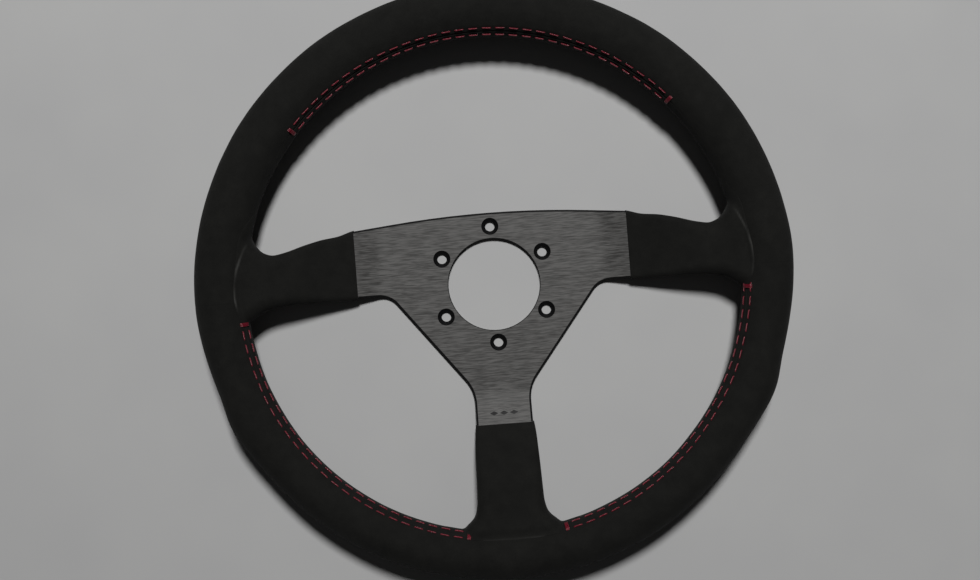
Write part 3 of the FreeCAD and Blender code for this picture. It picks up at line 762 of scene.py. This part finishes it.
def ramp(nodes, links, value, stops):
    made = nodes.new("ShaderNodeValToRGB")
    elements = made.color_ramp.elements
    while len(elements) < len(stops):
        elements.new(0.5)
    for element, (position, colour) in zip(elements, stops):
        element.position = position
        element.color = (*colour, 1.0)
    links.new(value, made.inputs["Fac"])
    return made.outputs["Color"]


def feed(links, socket, value):
    """Sets a socket to a number or a colour, or links another node's output to it."""
    if isinstance(value, (int, float)):
        socket.default_value = value
    elif isinstance(value, tuple):
        socket.default_value = (*value, 1.0)
    else:
        links.new(value, socket)


def mix(nodes, links, share, first, second, blend="MIX"):
    made = nodes.new("ShaderNodeMix")
    made.data_type = "RGBA"
    made.blend_type = blend
    feed(links, made.inputs["Factor"], share)
    feed(links, made.inputs["A"], first)
    feed(links, made.inputs["B"], second)
    return made.outputs["Result"]


def math_node(nodes, links, operation, *values):
    made = nodes.new("ShaderNodeMath")
    made.operation = operation
    for socket, value in zip(made.inputs, values):
        feed(links, socket, value)
    return made.outputs["Value"]


def bump(nodes, links, height, distance, strength):
    made = nodes.new("ShaderNodeBump")
    made.inputs["Strength"].default_value = strength
    made.inputs["Distance"].default_value = distance
    links.new(height, made.inputs["Height"])
    return made.outputs["Normal"]


def object_place(nodes):
    return nodes.new("ShaderNodeTexCoord").outputs["Object"]


def suede_material():
    material, nodes, links, shader = new_material("black_suede")
    place = object_place(nodes)
    cloud = noise(nodes, links, place, 42.0, 3.0)
    brushed_patch = noise(nodes, links, place, 130.0, 4.0, 0.6)
    fibre = noise(nodes, links, place, 2600.0, 2.0, 0.7)
    base = ramp(nodes, links, cloud, [(0.3, (0.0088, 0.0088, 0.0081)), (0.7, (0.0108, 0.0107, 0.0099))])
    patch = ramp(nodes, links, brushed_patch, [(0.35, grey(0.88)), (0.65, (1.13, 1.13, 1.12))])
    nap = ramp(nodes, links, fibre, [(0.3, grey(0.7)), (0.7, (1.4, 1.4, 1.38))])
    colour = mix(nodes, links, 1.0, base, patch, "MULTIPLY")
    colour = mix(nodes, links, 1.0, colour, nap, "MULTIPLY")
    # A paler line of suede along each sleeve's crease, taken from the crease attribute.
    pale_crease = nodes.new("ShaderNodeAttribute")
    pale_crease.attribute_name = "crease"
    colour = mix(nodes, links, pale_crease.outputs["Fac"], colour, (0.05, 0.05, 0.047))
    links.new(colour, shader.inputs["Base Color"])
    rough = ramp(nodes, links, fibre, [(0.2, grey(0.82)), (0.8, grey(1.0))])
    links.new(rough, shader.inputs["Roughness"])
    height = math_node(nodes, links, "ADD", fibre, math_node(nodes, links, "MULTIPLY", brushed_patch, 1.5))
    links.new(bump(nodes, links, height, 0.00025, 0.7), shader.inputs["Normal"])
    shader.inputs["Specular IOR Level"].default_value = 0.15
    shader.inputs["Sheen Weight"].default_value = 0.025
    shader.inputs["Sheen Roughness"].default_value = 0.45
    shader.inputs["Sheen Tint"].default_value = (0.8, 0.8, 0.78, 1.0)
    return material


def thread_material():
    material, nodes, links, shader = new_material("red_thread")
    place = object_place(nodes)
    fibre = noise(nodes, links, place, 3200.0, 2.0)
    along = noise(nodes, links, place, 240.0, 2.0)
    colour = ramp(nodes, links, fibre, [(0.3, (0.12, 0.002, 0.011)), (0.7, (0.26, 0.007, 0.026))])
    tone = ramp(nodes, links, along, [(0.3, grey(0.85)), (0.7, grey(1.1))])
    links.new(mix(nodes, links, 1.0, colour, tone, "MULTIPLY"), shader.inputs["Base Color"])
    gloss = ramp(nodes, links, along, [(0.3, grey(0.26)), (0.7, grey(0.4))])
    links.new(gloss, shader.inputs["Roughness"])
    shader.inputs["Specular IOR Level"].default_value = 0.8
    links.new(bump(nodes, links, fibre, 0.0001, 0.5), shader.inputs["Normal"])
    return material


MARK_PITCH = 6.0
MARK_CENTRE = -77.2
MARK_HALF_WIDTH = 2.6
MARK_HALF_HEIGHT = 1.2


def lozenges(nodes, links, place):
    """One inside the three lozenges of the engraved mark and nought outside, by place on the plate."""

    def count(operation, *values):
        return math_node(nodes, links, operation, *values)

    split = nodes.new("ShaderNodeSeparateXYZ")
    links.new(place, split.inputs["Vector"])
    x, y = split.outputs["X"], split.outputs["Y"]
    near = count("LESS_THAN", count("ABSOLUTE", x), 1.5 * MARK_PITCH * MM)
    folded = count("WRAP", x, MARK_PITCH / 2 * MM, -MARK_PITCH / 2 * MM)
    across = count("DIVIDE", count("ABSOLUTE", folded), MARK_HALF_WIDTH * MM)
    away = count("ABSOLUTE", count("SUBTRACT", y, MARK_CENTRE * MM))
    along = count("DIVIDE", away, MARK_HALF_HEIGHT * MM)
    inside = count("LESS_THAN", count("ADD", across, along), 1.0)
    return count("MULTIPLY", near, inside)


def plate_material():
    """Brushed on its two faces, with the engraved mark on the front one, and plain black on its cut edges."""
    material, nodes, links, shader = new_material("brushed_black_anodised")
    place = object_place(nodes)

    def streaks(along, across, detail):
        stretch = nodes.new("ShaderNodeMapping")
        stretch.inputs["Scale"].default_value = (along, across, 90.0)
        links.new(place, stretch.inputs["Vector"])
        return noise(nodes, links, stretch.outputs["Vector"], 1.0, detail, 0.6)

    grain = streaks(125.0, 1900.0, 2.0)
    broad = streaks(30.0, 260.0, 2.0)
    facing = nodes.new("ShaderNodeNewGeometry")
    split = nodes.new("ShaderNodeSeparateXYZ")
    links.new(facing.outputs["True Normal"], split.inputs["Vector"])
    upright = math_node(nodes, links, "ABSOLUTE", split.outputs["Z"])
    face = ramp(nodes, links, upright, [(0.80, grey(0)), (0.86, grey(1))])
    fine = ramp(nodes, links, grain, [(0.36, (0.050, 0.049, 0.047)), (0.64, (0.147, 0.144, 0.140))])
    wide = ramp(nodes, links, broad, [(0.35, grey(0.96)), (0.65, grey(1.04))])
    brushed = mix(nodes, links, 1.0, fine, wide, "MULTIPLY")
    front = math_node(nodes, links, "GREATER_THAN", split.outputs["Z"], 0.5)
    mark = math_node(nodes, links, "MULTIPLY", lozenges(nodes, links, place), front)
    brushed = mix(nodes, links, mark, brushed, grey(0.018))
    links.new(mix(nodes, links, face, (0.0035, 0.0035, 0.0038), brushed), shader.inputs["Base Color"])
    satin = ramp(nodes, links, grain, [(0.36, grey(0.54)), (0.64, grey(0.66))])
    links.new(mix(nodes, links, face, grey(0.62), satin), shader.inputs["Roughness"])
    links.new(mix(nodes, links, face, grey(0.0), grey(0.22)), shader.inputs["Metallic"])
    shader.inputs["Specular IOR Level"].default_value = 0.25
    groove = math_node(nodes, links, "MULTIPLY", grain, face)
    links.new(bump(nodes, links, groove, 0.00006, 0.5), shader.inputs["Normal"])
    shader.inputs["Anisotropic"].default_value = 0.2
    across = nodes.new("ShaderNodeCombineXYZ")
    across.inputs["Y"].default_value = 1.0
    links.new(across.outputs["Vector"], shader.inputs["Tangent"])
    return material


def steel_material(name, dark, light, roughness):
    material, nodes, links, shader = new_material(name)
    place = object_place(nodes)
    mottle = noise(nodes, links, place, 320.0, 5.0)
    links.new(ramp(nodes, links, mottle, [(0.3, dark), (0.7, light)]), shader.inputs["Base Color"])
    shader.inputs["Metallic"].default_value = 0.9
    rough = ramp(nodes, links, mottle, [(0.3, grey(roughness - 0.08)), (0.7, grey(roughness + 0.08))])
    links.new(rough, shader.inputs["Roughness"])
    links.new(bump(nodes, links, mottle, 0.0001, 0.3), shader.inputs["Normal"])
    return material


def foam_material():
    material, nodes, links, shader = new_material("moulded_foam")
    place = object_place(nodes)
    pores = noise(nodes, links, place, 1400.0, 3.0)
    colour = ramp(nodes, links, pores, [(0.3, grey(0.014)), (0.7, grey(0.026))])
    links.new(colour, shader.inputs["Base Color"])
    shader.inputs["Roughness"].default_value = 0.8
    links.new(bump(nodes, links, pores, 0.0002, 0.5), shader.inputs["Normal"])
    return material


def floor_material():
    material, nodes, links, shader = new_material("pale_floor")
    place = object_place(nodes)
    mottle = noise(nodes, links, place, 9.0, 3.0)
    colour = ramp(nodes, links, mottle, [(0.3, grey(0.50)), (0.7, (0.53, 0.53, 0.525))])
    links.new(colour, shader.inputs["Base Color"])
    shader.inputs["Roughness"].default_value = 0.9
    return material


MATERIALS = {
    "suede": suede_material(),
    "thread": thread_material(),
    "plate": plate_material(),
    "steel": steel_material("mild_steel", (0.30, 0.30, 0.31), (0.45, 0.45, 0.46), 0.45),
    "rivet": steel_material("zinc_plated_steel", (0.5, 0.5, 0.51), (0.62, 0.62, 0.63), 0.3),
    "foam": foam_material(),
}

NODE_LOOKS = {
    "spoke_plate": "plate",
    "rim_ring": "steel",
    "lug_left": "steel",
    "lug_right": "steel",
    "lug_bottom": "steel",
    "rivets_left": "rivet",
    "rivets_right": "rivet",
    "rivets_bottom": "rivet",
    "rim_foam": "foam",
    "spoke_pad_left": "foam",
    "spoke_pad_right": "foam",
    "spoke_pad_bottom": "foam",
}


def dress_nodes():
    for node, look in NODE_LOOKS.items():
        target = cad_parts[node]
        target.data.materials.clear()
        target.data.materials.append(MATERIALS[look])


# ---------------------------------------------------------------- floor, light and camera

FLOOR_HALF = 3.0

# Lights: place and size in metres, watts. They all look at the origin.
KEY_LIGHT = ("key", (0.12, 0.88, 1.9), 0.34, 32.5)
FILL_LIGHT = ("fill", (-0.3, -0.1, 2.4), 2.0, 0.4)
WORLD_STRENGTH = 0.012


def make_floor():
    mesh = bpy.data.meshes.new("floor")
    half = FLOOR_HALF
    corners = [(-half, -half, 0), (half, -half, 0), (half, half, 0), (-half, half, 0)]
    mesh.from_pydata(corners, [], [(0, 1, 2, 3)])
    floor = bpy.data.objects.new("floor", mesh)
    bpy.context.scene.collection.objects.link(floor)
    mesh.materials.append(floor_material())


def area_light(name, place, size, watts):
    light = bpy.data.lights.new(name, "AREA")
    light.shape = "DISK"
    light.size = size
    light.energy = watts
    made = bpy.data.objects.new(name, light)
    bpy.context.scene.collection.objects.link(made)
    made.location = place
    made.rotation_mode = "QUATERNION"
    made.rotation_quaternion = (-Vector(place)).to_track_quat("-Z", "Y")


def make_lights():
    area_light(*KEY_LIGHT)
    area_light(*FILL_LIGHT)
    world = bpy.data.worlds.new("studio")
    world.use_nodes = True
    background = world.node_tree.nodes["Background"]
    background.inputs["Color"].default_value = (1, 1, 1, 1)
    background.inputs["Strength"].default_value = WORLD_STRENGTH
    bpy.context.scene.world = world
    bpy.context.scene.view_settings.view_transform = "Standard"


CAMERA_ROLL = 4.39  # degrees
CAMERA_OVER = (-2.8, -3.3)
CAMERA_DISTANCE = 670.0  # from the plate's front face
PLATE_FACE = 4.0
PIXELS_PER_MM = 1.6597  # at the plate's front face
IMAGE_WIDTH = 980
SENSOR = 36.0


def make_camera():
    data = bpy.data.cameras.new("camera")
    data.sensor_width = SENSOR
    data.lens = PIXELS_PER_MM * CAMERA_DISTANCE * SENSOR / IMAGE_WIDTH
    camera = bpy.data.objects.new("camera", data)
    bpy.context.scene.collection.objects.link(camera)
    camera.location = (CAMERA_OVER[0] * MM, CAMERA_OVER[1] * MM, (PLATE_FACE + CAMERA_DISTANCE) * MM)
    camera.rotation_euler = (0, 0, -math.radians(CAMERA_ROLL))
    bpy.context.scene.camera = camera


make_camera()
make_lights()
make_floor()
dress_nodes()
for panel in PANELS:
    rim_panel(panel)
    rim_thread(panel)
for spoke in SLEEVES:
    sleeve(spoke)
    spoke_thread(spoke)
